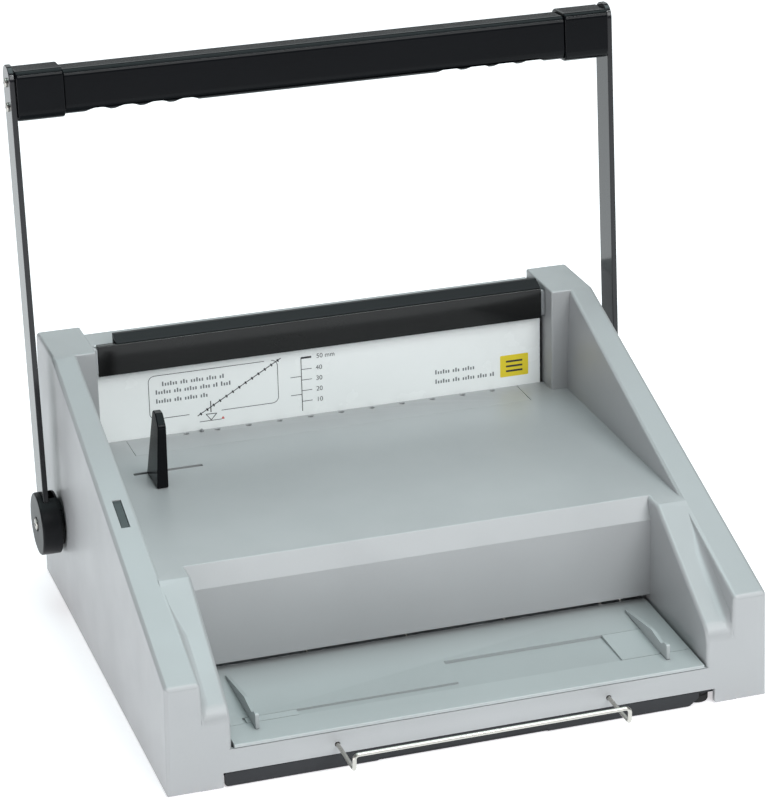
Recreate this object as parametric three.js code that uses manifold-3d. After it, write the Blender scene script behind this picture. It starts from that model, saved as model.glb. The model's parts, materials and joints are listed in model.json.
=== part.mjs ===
// Desktop hot-knife strip-binding machine with a manual lever punch.
// Millimetres, +Z up, +X to the right, -Y towards the user.
// Inside the "machine" group Y = 0 is the plane of the side towers' front faces and Z = 0 is the table.
import * as THREE from "three";
import { mergeVertices } from "three/addons/utils/BufferGeometryUtils.js";
import Module from "manifold-3d";

const wasm = await Module();
wasm.setup();

// ---------- driving dimensions ----------
const GAP = 0.3; // clearance between pieces that touch
const BASE_HALF = 222.5; // outer half-width of the towers at the table
const TOP_HALF = 219; // and at their flat tops
const BODY_TOP = 201.9;
const BODY_BACK = 396;
const TOWER_FRONT_TOP = 82.6; // the tower's front face ends here and the slope begins
const SLOPE_END_Y = 337.2; // the slope meets the flat top here
const WALL = 3;
const SKIRT = 0.8; // the housings stop this far above the table

const DECK_Z = 118;
const DECK_SEAM_Y = 120;
const PANEL_Y = 356.8; // front of the white back panel
const INNER_HALF = 176.3; // inner faces of the low ridges beside the punch tray
const FOOT_INNER = 183.1; // the ridges are cut back this far beside the chip drawer
const LIP_BOTTOM = 12.1;
const COLUMN_INNER = 184.8; // inner faces of the rear columns
const COLUMN_Y = 337;

const TRAY_FRONT_Z = 32.4;
const TRAY_BACK_Z = 35.1;
const TRAY_BACK_Y = 113.5;
const FASCIA_Y = 107;
const THROAT_TOP = 40.8;

const PIVOT_Y = 330.2; // axis of the lever handle
const PIVOT_Z = 70.2;
const SHAFT_R = 8;
const LEAN = 0.066; // the handle leans back by this angle, in radians
const ARM_OUT = 236.75;
const ARM_THICK = 4.2;
const ARM_WIDTH = 24.9;
const ARM_LENGTH = 359.4;
const KNOB_R = 24.4;
const KNOB_IN = 225;
const KNOB_OUT = 241;
const GRIP_HALF = 196.7;

const HANDLE_SWING = (78 * Math.PI) / 180;
const ROCKER_Y = 215; // axis of the punch rockers
const ROCKER_Z = 92;
const ROCKER_X = [163, 169];
const PUNCH_Y = 120.6; // row of punch pins
const RAM_Z = [67.5, 80];
const CAM_BASE = 14;
const CAM_LIFT = 12.2;

const PITCH = 25.4; // hole spacing of the binding strip
const HOLE_COUNT = 12;
const BIND_Y = 353.3; // row of strip holes in the binding bed
const LOCATING_X = -4 * PITCH; // midway between two strip holes

const BAR_Z = [175.5, 200.5];
const BAR_Y = [350.3, 356.3];
const SCREW_X = 160;
const SCREW_Y = 378;

const RACK_Z = [22, 26.5];
const PINION_Y = 45;
const PINION_R = 7; // pitch radius
const TEETH = 12;
const TOOTH_PITCH = (2 * Math.PI * PINION_R) / TEETH;

const BAIL_X = 101;
const BAIL_Z = 19.5;
const BAIL_REACH = 40;
const WIRE_R = 1.5;
const DRAWER = { x: [-182.4, 164.5], y: [0.6, 150], z: [SKIRT, 11.4] };
const DRAWER_TUB = [-178, 160];
const DEPTH_CENTRE = (BODY_BACK - BAIL_REACH - WIRE_R) / 2;

// ---------- materials ----------
function finish(color, roughness, metalness = 0) {
  return new THREE.MeshStandardMaterial({ color, roughness, metalness });
}
const SILVER = finish(0xbfc5c8, 0.5);
const TRAY_GREY = finish(0xaebabd, 0.55);
const WHITE = finish(0xe9efef, 0.35);
const GLOSS_BLACK = finish(0x16181b, 0.2);
const BLACK = finish(0x202226, 0.45);
const DARK_GREY = finish(0x3f4145, 0.6);
const SMOKED = finish(0x3a4245, 0.25);
const RUBBER = finish(0x191a1b, 0.9);
const STEEL = finish(0x9a9da0, 0.35, 1);
const NICKEL = finish(0xcfcac0, 0.25, 1);
const BRASS = finish(0xb59a55, 0.35, 1);

// ---------- solids ----------
// A three.js geometry as a closed manifold solid.
function solid(geometry) {
  const bare = geometry.index ? geometry.toNonIndexed() : geometry.clone();
  bare.deleteAttribute("normal");
  bare.deleteAttribute("uv");
  const merged = mergeVertices(bare, 1e-4);
  const mesh = new wasm.Mesh({
    numProp: 3,
    vertProperties: merged.attributes.position.array,
    triVerts: new Uint32Array(merged.index.array),
  });
  return new wasm.Manifold(mesh);
}

const join = (first, ...others) => others.reduce((whole, one) => whole.add(one), first);
const cut = (first, ...others) => others.reduce((whole, one) => whole.subtract(one), first);

// Box from its low to its high corner along each axis.
function block([x0, x1], [y0, y1], [z0, z1]) {
  const box = new THREE.BoxGeometry(x1 - x0, y1 - y0, z1 - z0);
  return solid(box.translate((x0 + x1) / 2, (y0 + y1) / 2, (z0 + z1) / 2));
}

// Closed outline from corners [u, v, setback]; a setback rounds its corner.
function outline(corners) {
  const shape = new THREE.Shape();
  corners.forEach(([u, v, setback = 0], i) => {
    const here = new THREE.Vector2(u, v);
    const towards = (j) => {
      const [a, b] = corners[(j + corners.length) % corners.length];
      return new THREE.Vector2(a - u, b - v).setLength(setback).add(here);
    };
    const start = setback ? towards(i - 1) : here;
    if (i) shape.lineTo(start.x, start.y);
    else shape.moveTo(start.x, start.y);
    if (!setback) return;
    const end = towards(i + 1);
    shape.quadraticCurveTo(u, v, end.x, end.y);
  });
  shape.closePath();
  return shape;
}

const extrude = (corners, depth, curveSegments = 4) =>
  new THREE.ExtrudeGeometry(outline(corners), { depth, bevelEnabled: false, steps: 1, curveSegments });
const basis = (x, y, z) =>
  new THREE.Matrix4().makeBasis(new THREE.Vector3(...x), new THREE.Vector3(...y), new THREE.Vector3(...z));

// A (y, z) outline drawn out along X, an (x, z) outline along Y, and an (x, y) outline along Z.
function alongX(corners, [x0, x1]) {
  const turned = extrude(corners, x1 - x0).applyMatrix4(basis([0, 1, 0], [0, 0, 1], [1, 0, 0]));
  return solid(turned.translate(x0, 0, 0));
}
function alongY(corners, [y0, y1]) {
  const turned = extrude(corners, y1 - y0).applyMatrix4(basis([1, 0, 0], [0, 0, 1], [0, -1, 0]));
  return solid(turned.translate(0, y1, 0));
}
function alongZ(corners, [z0, z1]) {
  return solid(extrude(corners, z1 - z0).translate(0, 0, z0));
}

// Round rod between two stations on an axis; (a, b) is its centre on the other two axes.
function rod(axis, radius, [from, to], [a, b], sides = 20) {
  const round = new THREE.CylinderGeometry(radius, radius, to - from, sides);
  const middle = (from + to) / 2;
  if (axis === "x") return solid(round.rotateZ(-Math.PI / 2).translate(middle, a, b));
  if (axis === "y") return solid(round.translate(a, middle, b));
  return solid(round.rotateX(Math.PI / 2).translate(a, b, middle));
}

// Profile of (radius, station) points turned about X; the list closes on itself.
function turnedX(profile, centre, sides = 32) {
  const points = [...profile, profile[0]].map(([r, x]) => new THREE.Vector2(r, x));
  const round = new THREE.LatheGeometry(points, sides).rotateZ(-Math.PI / 2);
  return solid(round.translate(0, ...centre));
}

const strip = (count, spacing) => Array.from({ length: count }, (_, i) => (i - (count - 1) / 2) * spacing);

// ---------- scene graph ----------
const part = new THREE.Group();
const machine = new THREE.Group();
machine.position.y = -DEPTH_CENTRE;
part.add(machine);
const handle = new THREE.Group();
handle.position.set(0, PIVOT_Y, PIVOT_Z);
handle.rotation.x = -LEAN;
machine.add(handle);

function put(name, shape, material, parent = machine) {
  const { numProp, vertProperties, triVerts } = shape.getMesh();
  const geometry = new THREE.BufferGeometry();
  geometry.setAttribute("position", new THREE.BufferAttribute(new Float32Array(vertProperties), numProp));
  geometry.setIndex(new THREE.BufferAttribute(new Uint32Array(triVerts), 1));
  geometry.computeVertexNormals();
  const mesh = new THREE.Mesh(geometry, material);
  mesh.name = name;
  parent.add(mesh);
  return mesh;
}

// The right-hand piece and its mirror image on the left.
function putPair(name, shape, material, parent = machine) {
  put("right_" + name, shape, material, parent);
  put("left_" + name, shape, material, parent).scale.x = -1;
}

// ---------- housing ----------
const slopeZ = (y) => TOWER_FRONT_TOP + ((BODY_TOP - TOWER_FRONT_TOP) * y) / SLOPE_END_Y;
const LENS = { y: [153.5, 181], x: [206, 212] };
const GUIDE_SLOT = { x: [-172, -118], y: [286, 290] };
const BED = { half: 162, front: 323 };
const COVER_TOP = 195; // the rear cover's height between the columns
const INLET = { x: [-130, -102], z: [30, 52] };
const SWITCH = { x: -84, y: 390.4, z: 41, tilt: -0.12 };

function sideHousing(withLens) {
  const outerSide = [
    [0, SKIRT], [0, TOWER_FRONT_TOP, 6], [SLOPE_END_Y, BODY_TOP, 6],
    [BODY_BACK, BODY_TOP, 5], [BODY_BACK, SKIRT],
  ];
  const drafted = [
    [194.2, 0], [BASE_HALF, 0], [TOP_HALF + 0.6, BODY_TOP - 4], [TOP_HALF - 2.4, BODY_TOP], [200.3, BODY_TOP],
  ];
  const tower = alongX(outerSide, [190, 226]).intersect(alongY(drafted, [-1, BODY_BACK + 1]));
  const ridgeSide = [
    [0, LIP_BOTTOM], [0, 58, 9], [97, DECK_Z, 3], [DECK_SEAM_Y, DECK_Z], [DECK_SEAM_Y, LIP_BOTTOM],
  ];
  const ridge = alongX(ridgeSide, [INNER_HALF, 199]);
  const foot = block([FOOT_INNER, 199], [0, DECK_SEAM_Y], [SKIRT, LIP_BOTTOM + 1]);
  const column = block([COLUMN_INNER, 203], [COLUMN_Y, BODY_BACK], [100, BODY_TOP]);

  const towerHollow = alongX(
    [[WALL, -1], [WALL, 79], [336.4, 198.7], [BODY_BACK - WALL, 198.7], [BODY_BACK - WALL, -1]], [198, 222],
  ).intersect(alongY([[199, -1], [219.4, -1], [216, 198.7], [203.2, 198.7]], [0, BODY_BACK]));
  const ridgeInside = [[WALL, 14], [WALL, 52], [94, 114.6], [117, 114.6], [117, 14]];
  const ridgeHollow = alongX(ridgeInside, [INNER_HALF + WALL, 201]);
  const footHollow = block([FOOT_INNER + WALL, 201], [WALL, DECK_SEAM_Y + 1], [-1, 15]);
  const footCut = block([FOOT_INNER - 1, 201], [4, DECK_SEAM_Y + 1], [-1, 9.6]);
  const columnHollow = block([COLUMN_INNER + WALL, 204], [COLUMN_Y + WALL, BODY_BACK - WALL], [99, 198.7]);
  const rearHollow = block([190, 205], [DECK_SEAM_Y + GAP, BODY_BACK - WALL], [-1, 100]);
  const shaftHole = rod("x", 10, [190, 226], [PIVOT_Y, PIVOT_Z]);
  const housing = cut(
    join(tower, ridge, foot, column),
    towerHollow, ridgeHollow, footHollow, footCut, columnHollow, rearHollow, shaftHole,
  );
  if (!withLens) return housing;
  const [x0, x1] = LENS.x;
  const [y0, y1] = LENS.y;
  return cut(housing, block([x0 - GAP, x1 + GAP], [y0 - GAP, y1 + GAP], [110, 160]));
}

function frontFascia() {
  return alongX(
    [
      [FASCIA_Y, THROAT_TOP], [FASCIA_Y, 101.5, 1], [115, DECK_Z, 1], [DECK_SEAM_Y, DECK_Z],
      [DECK_SEAM_Y, DECK_Z - WALL], [117.2, DECK_Z - WALL], [110, 100.8], [110, THROAT_TOP],
    ],
    [-INNER_HALF + GAP, INNER_HALF - GAP],
  );
}

function topDeck() {
  const wide = 197.2;
  const narrow = COLUMN_INNER - GAP;
  const back = PANEL_Y - 0.4;
  const step = COLUMN_Y - GAP;
  const front = DECK_SEAM_Y + GAP;
  const corners = [
    [-wide, front], [wide, front], [wide, step], [narrow, step],
    [narrow, back], [-narrow, back], [-narrow, step], [-wide, step],
  ];
  const plate = alongZ(corners, [DECK_Z - WALL, DECK_Z]);
  return cut(
    plate,
    block([-BED.half, BED.half], [BED.front, back + 1], [110, 120]),
    block(GUIDE_SLOT.x, GUIDE_SLOT.y, [110, 120]),
  );
}

function bindingBed() {
  const plate = block([GAP - BED.half, BED.half - GAP], [BED.front + GAP, PANEL_Y - 0.4], [108, DECK_Z]);
  const holes = strip(HOLE_COUNT, PITCH).map((x) => rod("z", 2.2, [100, 120], [x, BIND_Y], 12));
  return cut(plate, ...holes, rod("z", 1.8, [110, 120], [LOCATING_X, BIND_Y], 12));
}

function rearCover() {
  const wide = 193.5;
  const narrow = COLUMN_INNER - GAP;
  const shoulder = 99.6;
  const corners = [
    [-wide, 10], [wide, 10], [wide, shoulder], [narrow, shoulder],
    [narrow, COVER_TOP], [-narrow, COVER_TOP], [-narrow, shoulder], [-wide, shoulder],
  ];
  const back = alongY(corners, [BODY_BACK - WALL, BODY_BACK]);
  const top = block([-narrow, narrow], [366, BODY_BACK - 1], [COVER_TOP - WALL, COVER_TOP]);
  return cut(
    join(back, top),
    block([INLET.x[0] - GAP, INLET.x[1] + GAP], [390, 400], [INLET.z[0] - GAP, INLET.z[1] + GAP]),
    block([SWITCH.x - 7, SWITCH.x + 7], [390, 400], [SWITCH.z - 10.7, SWITCH.z + 10.7]),
  );
}

function backPanel() {
  return block([-182.3, 182.3], [PANEL_Y, PANEL_Y + 2], [108, 199]);
}

function topTrim() {
  const corners = [[351, 200.9], [362, 205.2], [365.6, 205.2], [365.6, 190], [361.6, 190], [361.6, 200.9]];
  return alongX(corners, [-166, 181]);
}

function indicatorLens() {
  const [y0, y1] = LENS.y;
  const top = (y) => [y, slopeZ(y) - 0.4];
  const bottom = (y) => [y, slopeZ(y) - 2.8];
  return alongX([top(y0), top(y1), bottom(y1), bottom(y0)], [-LENS.x[1], -LENS.x[0]]);
}

put("right_side_housing", sideHousing(false), SILVER);
put("left_side_housing", sideHousing(true), SILVER).scale.x = -1;
put("front_fascia", frontFascia(), SILVER);
put("top_deck", topDeck(), SILVER);
put("binding_bed", bindingBed(), SILVER);
put("locating_pin", rod("z", 1.4, [110, 120.2], [LOCATING_X, BIND_Y], 10), STEEL);
put("rear_cover", rearCover(), SILVER);
put("back_panel", backPanel(), WHITE);
put("top_trim_strip", topTrim(), BLACK);
put("indicator_lens", indicatorLens(), SMOKED);

// ---------- base ----------
const PAN_Z = [7.5, 9.3];
const FEET = { front_left: [-200, 22], front_right: [174, 13], rear_left: [-200, 372], rear_right: [200, 372] };

function basePan() {
  const plate = block([-213, 213], [5, 390], PAN_Z);
  const drawerWay = block([DRAWER_TUB[0] - 1, DRAWER_TUB[1] + 1], [0, DRAWER.y[1] + 1], [0, 20]);
  return cut(plate, drawerWay);
}
put("base_pan", basePan(), STEEL);
for (const [corner, centre] of Object.entries(FEET)) {
  put("foot_" + corner, rod("z", 8.5, [0, PAN_Z[0] - GAP], centre, 20), RUBBER);
}

// ---------- punch tray with its side guides ----------
const traySurface = (y) => TRAY_FRONT_Z + ((TRAY_BACK_Z - TRAY_FRONT_Z) * y) / TRAY_BACK_Y;
const CHANNEL_FLOOR = 31.6;
const RIGHT_GUIDE = { plateY: [27, 68], slotY: [53.7, 57.8], rackY: [51, 58] };
const LEFT_GUIDE = { plateY: [27, 35], slotY: [30.1, 33.7], rackY: [32, 39] };
const GUIDE_TRAVEL_END = 44.4;
const FIN_X = [152, 155];

function punchTray() {
  const half = INNER_HALF - GAP;
  const section = [
    [0, LIP_BOTTOM - GAP], [0, TRAY_FRONT_Z, 1.2], [TRAY_BACK_Y, TRAY_BACK_Z], [TRAY_BACK_Y, 28], [3, 28],
    [3, LIP_BOTTOM - GAP],
  ];
  const tray = join(alongX(section, [-half, half]), rod("z", 3, [20, 29], [0, PINION_Y], 12));
  const high = [CHANNEL_FLOOR, 40];
  const through = [25, 40];
  return cut(
    tray,
    block([0, 160], RIGHT_GUIDE.plateY, high),
    block([-160, 0.1], LEFT_GUIDE.plateY, high),
    block([GUIDE_TRAVEL_END, 156.8], RIGHT_GUIDE.slotY, through),
    block([-156.8, -GUIDE_TRAVEL_END], LEFT_GUIDE.slotY, through),
    rod("y", 2, [-1, 5], [BAIL_X, BAIL_Z], 12),
    rod("y", 2, [-1, 5], [-BAIL_X, BAIL_Z], 12),
  );
}

// The upright fin of a side guide; its lower edge clears the sloping tray.
function guideFin(span) {
  const over = (y) => traySurface(y) + 0.35;
  const nib = 44.6;
  const top = [[17, nib, 2], [22, nib, 2], [27, 41.2], [46, 43.8], [62, 41.6], [97, 36.6]];
  return alongX([[16, over(16)], ...top, [97, over(97)]], span);
}

// One straight rack; side +1 has its teeth towards -Y, side -1 towards +Y.
function rack(from, to, pitchLine, side) {
  const tooth = (x) => {
    const root = pitchLine + side * 1.7;
    const tip = pitchLine - side * 0.9;
    const corners = [[x - 1.25, root], [x + 1.25, root], [x + 0.45, tip], [x - 0.45, tip]];
    return alongZ(side > 0 ? corners.reverse() : corners, RACK_Z);
  };
  const near = pitchLine + side * 1.5;
  const far = pitchLine + side * 6;
  const bar = block([from, to], [Math.min(near, far), Math.max(near, far)], RACK_Z);
  const first = Math.ceil(from / TOOTH_PITCH + 0.5);
  const last = Math.floor(to / TOOTH_PITCH - 0.5);
  const stations = Array.from({ length: last - first }, (_, i) => (first + i + 0.5) * TOOTH_PITCH);
  return join(bar, ...stations.map(tooth));
}

function rightGuide() {
  const [y0, y1] = RIGHT_GUIDE.plateY;
  const plate = block([122.3, 158], [y0 + GAP, y1 - GAP], [CHANNEL_FLOOR + GAP, 32.8]);
  const finFoot = block(FIN_X, [y0 + 2, y1 - 2], [32.2, 38]);
  const stem = block([150, 156], [RIGHT_GUIDE.slotY[0] + GAP, RIGHT_GUIDE.slotY[1] - GAP], [RACK_Z[0], 32.4]);
  return join(plate, finFoot, guideFin(FIN_X), stem, rack(-14, 156, PINION_Y + PINION_R, 1));
}

function leftGuide() {
  const [y0, y1] = LEFT_GUIDE.plateY;
  const plate = block([-158, -120.3], [y0 + GAP, y1 - GAP], [CHANNEL_FLOOR + GAP, 32.8]);
  const finSpan = [-FIN_X[1], -FIN_X[0]];
  const finFoot = block(finSpan, [y0 + 1, y1 - 1], [32.2, 38]);
  const stem = block([-156, -150], [LEFT_GUIDE.slotY[0] + GAP, LEFT_GUIDE.slotY[1] - GAP], [RACK_Z[0], 32.4]);
  return join(plate, finFoot, guideFin(finSpan), stem, rack(-156, 14, PINION_Y - PINION_R, -1));
}

function guidePinion() {
  const disc = rod("z", PINION_R - 1.5, RACK_Z, [0, PINION_Y], 24);
  const tip = PINION_R + 0.9;
  const flank = [[4.6, -1.25], [tip, -0.4], [tip, 0.4], [4.6, 1.25]];
  const teeth = Array.from({ length: TEETH }, (_, i) => {
    const tooth = extrude(flank, RACK_Z[1] - RACK_Z[0]);
    return solid(tooth.rotateZ((i / TEETH + 0.25) * 2 * Math.PI).translate(0, PINION_Y, RACK_Z[0]));
  });
  return cut(join(disc, ...teeth), rod("z", 3.4, [0, 40], [0, PINION_Y], 16));
}

put("punch_tray", punchTray(), TRAY_GREY);
put("right_tray_guide", rightGuide(), TRAY_GREY);
put("left_tray_guide", leftGuide(), TRAY_GREY);
put("guide_pinion", guidePinion(), BRASS);

// ---------- wire bail and chip drawer in front ----------
function wireBail() {
  const inner = 98;
  const top = BAIL_Z + 11.5;
  const side = (x) => [
    rod("y", WIRE_R, [-BAIL_REACH, inner], [x, BAIL_Z], 10),
    rod("z", WIRE_R, [BAIL_Z, top], [x, -BAIL_REACH], 10),
  ];
  const elbow = (x, z) => solid(new THREE.SphereGeometry(WIRE_R, 10, 8).translate(x, -BAIL_REACH, z));
  const crossbar = rod("x", WIRE_R, [-BAIL_X, BAIL_X], [-BAIL_REACH, top], 10);
  const elbows = [BAIL_Z, top].flatMap((z) => [elbow(-BAIL_X, z), elbow(BAIL_X, z)]);
  return join(crossbar, ...side(-BAIL_X), ...side(BAIL_X), ...elbows);
}

function chipDrawer() {
  const [x0, x1] = DRAWER.x;
  const [y0, y1] = DRAWER.y;
  const front = block([x0, x1], [y0, y0 + 2.4], DRAWER.z);
  const tub = block(DRAWER_TUB, [y0 + 1, y1], DRAWER.z);
  const flange = block([x0, x1], [5, y1], [9.8, DRAWER.z[1]]);
  const inside = block([DRAWER_TUB[0] + 2, DRAWER_TUB[1] - 2], [y0 + 2.4, y1 - 2], [2.4, 20]);
  const grip = block([-71, 55], [y0 - 1, y0 + 1.2], [0, 3.2]);
  return cut(join(front, tub, flange), inside, grip);
}
put("wire_bail", wireBail(), NICKEL);
put("chip_drawer", chipDrawer(), DARK_GREY);

// ---------- punch ----------
const PIN_XS = strip(HOLE_COUNT, PITCH);

function dieBlock() {
  const body = block([-172.3, 172.3], [TRAY_BACK_Y + GAP, 134], [23, TRAY_BACK_Z]);
  return cut(body, ...PIN_XS.map((x) => rod("z", 2.2, [20, 40], [x, PUNCH_Y], 12)));
}

// Guides the pins; its rear rib stops the sheets' edges.
function punchGuideBlock() {
  const body = block([-172.3, 172.3], [TRAY_BACK_Y + GAP, 134], [41, 56]);
  const stop = block([-172.3, 172.3], [127, 134], [TRAY_BACK_Z + GAP, 42]);
  return cut(join(body, stop), ...PIN_XS.map((x) => rod("z", 2.2, [40.5, 60], [x, PUNCH_Y], 12)));
}

function punchRam() {
  const bar = block([-170, 170], [115, 127], RAM_Z);
  return join(bar, ...PIN_XS.map((x) => rod("z", 1.8, [43, RAM_Z[0] + 2], [x, PUNCH_Y], 10)));
}

function rocker() {
  const side = [
    [116, 86, 2], [119, 95, 3], [150, 100], [205, 104], [226, 104], [300, 98], [335, 96, 3],
    [334.2, 89], [333, 86.2], [330.2, 85], [327.4, 86.2], [325, 90],
    [230, 80, 4], [200, 80, 4], [140, 87], [125, 84], [121, 80.9], [118, 82],
  ];
  return cut(alongX(side, ROCKER_X), rod("x", 5.3, [160, 172], [ROCKER_Y, ROCKER_Z]));
}

putPair("punch_rocker", rocker(), STEEL);
put("rocker_shaft", rod("x", 5, [-177, 177], [ROCKER_Y, ROCKER_Z]), STEEL);
put("punch_ram", punchRam(), STEEL);
put("die_block", dieBlock(), STEEL);
put("punch_guide_block", punchGuideBlock(), STEEL);

// ---------- inner frame ----------
function framePlate() {
  const side = [
    [114.2, 12.2], [114.2, 98], [121, 112], [356, 112], [356, 107.6],
    [388, 107.6], [388, 9.6], [166, 9.6], [166, 12.2],
  ];
  return cut(
    alongX(side, [172.6, 175.6]),
    rod("x", 13.3, [170, 178], [PIVOT_Y, PIVOT_Z], 24),
    rod("x", 5.4, [170, 178], [ROCKER_Y, ROCKER_Z]),
  );
}
function shaftBearing() {
  const axis = [PIVOT_Y, PIVOT_Z];
  return cut(rod("x", 13, [170.5, 177.5], axis, 24), rod("x", 8.4, [170, 178], axis, 24));
}
function driveShelf() {
  const screwHole = (x) => rod("z", 5.6, [100, 120], [x, SCREW_Y]);
  return cut(block([-172.3, 172.3], [363, 390], [108, 111]), screwHole(SCREW_X), screwHole(-SCREW_X));
}
putPair("frame_plate", framePlate(), STEEL);
putPair("shaft_bearing", shaftBearing(), BRASS);
put("drive_shelf", driveShelf(), STEEL);

// ---------- pressure bar and its drive ----------
function pressureBar() {
  return alongX(
    [[BAR_Y[0], BAR_Z[0], 0.6], [BAR_Y[1], BAR_Z[0]], [BAR_Y[1], BAR_Z[1]], [BAR_Y[0], BAR_Z[1], 0.6]],
    [-181, 181],
  );
}

// Carries the bar's end round the back panel to its lead screw.
function barBracket() {
  const tab = block([181.3, 184.2], [350.8, 356.1], [178, 198]);
  const cheek = block([182.7, 184.2], [350.8, 374], [178, 190]);
  const cross = block([168, 184.2], [370, 374], [178, 190]);
  const nut = block([152, 168.5], [370, 386], [178, 190]);
  return cut(join(tab, cheek, cross, nut), rod("z", 5.4, [170, 200], [SCREW_X, SCREW_Y]));
}

function leadScrew() {
  const thread = rod("z", 5, [97, 191], [SCREW_X, SCREW_Y]);
  return join(thread, rod("z", 10, [98, 104], [SCREW_X, SCREW_Y], 24));
}

function timingBelt() {
  const loop = (r) =>
    join(
      rod("z", r, [98, 104], [SCREW_X, SCREW_Y], 24),
      rod("z", r, [98, 104], [-SCREW_X, SCREW_Y], 24),
      block([-SCREW_X, SCREW_X], [SCREW_Y - r, SCREW_Y + r], [98, 104]),
    );
  return cut(loop(11.8), loop(10.5));
}
put("pressure_bar", pressureBar(), GLOSS_BLACK);
putPair("bar_bracket", barBracket(), STEEL);
putPair("lead_screw", leadScrew(), STEEL);
put("timing_belt", timingBelt(), RUBBER);
put("bar_motor", rod("z", 12, [9.6, 94], [-SCREW_X, SCREW_Y], 24), DARK_GREY);

// ---------- hot knife under the binding bed ----------
function knifeRail() {
  const plate = block([-160, 160], [326, 361], [93, 96]);
  const end = (x) => block([x - 4, x + 4], [326, 356], [94, 107.7]);
  return join(plate, end(-156), end(156));
}
function knifeCarriage() {
  const corners = [[330, 97], [349, 97], [349, 103], [350, 107.5], [344, 107.5], [340, 104], [330, 104]];
  return alongX(corners, [-150, 150]);
}
put("knife_rail", knifeRail(), STEEL);
put("knife_carriage", knifeCarriage(), STEEL);

// ---------- electrics at the rear ----------
function powerInlet() {
  const [x0, x1] = INLET.x;
  const [z0, z1] = INLET.z;
  const shell = block([x0, x1], [374, BODY_BACK - GAP], [z0, z1]);
  return cut(shell, block([x0 + 2.5, x1 - 2.5], [377, 400], [z0 + 2.5, z1 - 2.5]));
}
function powerRocker() {
  const face = [[-7, -5], [0, -9.2], [4.4, -9.2], [3.2, 0], [4.4, 9.2], [0, 9.2], [-7, 5]];
  const turned = extrude(face, 12).applyMatrix4(basis([0, 1, 0], [0, 0, 1], [1, 0, 0])).translate(-6, 0, 0);
  return solid(turned.rotateX(SWITCH.tilt).translate(SWITCH.x, SWITCH.y, SWITCH.z));
}
put("power_inlet", powerInlet(), BLACK);
put("power_rocker", powerRocker(), BLACK);

// ---------- sheet-edge guide on the deck ----------
function edgeGuide() {
  const fin = alongX(
    [[254, DECK_Z + 0.4], [254, 168, 3], [263, 175.5, 2], [272, 175.5, 2], [287, DECK_Z + 0.4]], [-162, -153],
  );
  const taper = alongY([[-163, 117], [-152, 117], [-152.6, 177], [-158.6, 177]], [250, 292]);
  const stem = block([-160, -155], [286.4, 289.6], [110, 122]);
  const link = block([-160, -155], [282, 289.6], [DECK_Z + 0.4, 124]);
  const clamp = block([-164, -151], [280, 296], [109, 112]);
  return join(fin.intersect(taper), link, stem, clamp);
}
put("deck_edge_guide", edgeGuide(), BLACK);

// ---------- lever handle, upright in its own group with the pivot at the origin ----------
const CENTRE = [0, 0];
const CAP_SCREW_Z = [328, 346.4];
const ARM_X = [ARM_OUT - ARM_THICK, ARM_OUT];

function arm() {
  const half = ARM_WIDTH / 2;
  const side = [[-half, -half, 6], [half, -half, 6], [half, ARM_LENGTH, 9], [-half, ARM_LENGTH, 9]];
  const screwHoles = CAP_SCREW_Z.map((z) => rod("x", 2.3, [230, 240], [0, z], 12));
  return cut(alongX(side, ARM_X), rod("x", SHAFT_R + GAP, [230, 240], CENTRE), ...screwHoles);
}

function pivotKnob() {
  const bore = SHAFT_R + 0.4;
  const knob = turnedX(
    [
      [bore, KNOB_IN - 3.2], [18, KNOB_IN - 3.2], [18, KNOB_IN], [KNOB_R - 1, KNOB_IN],
      [KNOB_R, KNOB_IN + 1], [KNOB_R, KNOB_OUT - 2], [KNOB_R - 2, KNOB_OUT],
      [3, KNOB_OUT], [3, KNOB_OUT - 3.4], [bore, KNOB_OUT - 3.4],
    ],
    CENTRE,
    28,
  );
  const reach = ARM_WIDTH / 2 + GAP;
  return cut(knob, block([ARM_X[0] - GAP, ARM_X[1] + GAP], [-reach, reach], [-reach, 30]));
}

const CAP = { z: [318.3, 356.5], half: 16 };
const GRIP = { z: [320, 354.4], half: 14.4 };

const roundedBar = ({ z: [z0, z1], half }, corner, span) =>
  alongX([[-half, z0, corner], [half, z0, corner], [half, z1, corner], [-half, z1, corner]], span);

function endCap() {
  const screwHoles = CAP_SCREW_Z.map((z) => rod("x", 2.3, [226, 236], [0, z], 12));
  return cut(roundedBar(CAP, 9, [GRIP_HALF + GAP, ARM_X[0] - GAP]), ...screwHoles);
}

function gripRail() {
  const scallopR = 16;
  const bottom = GRIP.z[0];
  const scallop = (x) => rod("y", scallopR, [-20, 20], [x, bottom - scallopR + 3.2], 32);
  const centres = [-1, 1].flatMap((side) => [103.6, 126.5, 149, 171.5].map((x) => side * x));
  return cut(roundedBar(GRIP, 10, [-GRIP_HALF, GRIP_HALF]), ...centres.map(scallop));
}

// Snail cam: its radius grows from the top towards the back as the handle is pulled forward.
function snailCam() {
  const steps = 10;
  const rise = Array.from({ length: steps + 1 }, (_, i) => {
    const share = i / steps;
    return [HANDLE_SWING * share, CAM_BASE + CAM_LIFT * share];
  });
  const fall = [[1.6, 26.2], [1.9, 22], [2.3, CAM_BASE]];
  const rest = [2.9, 3.5, 4.1, 4.7, 5.3, 5.8].map((angle) => [angle, CAM_BASE]);
  const corners = [...rise, ...fall, ...rest].map(([angle, r]) => [r * Math.sin(angle), r * Math.cos(angle)]);
  return cut(alongX(corners.reverse(), ROCKER_X), rod("x", SHAFT_R + GAP, [160, 172], CENTRE));
}

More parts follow.
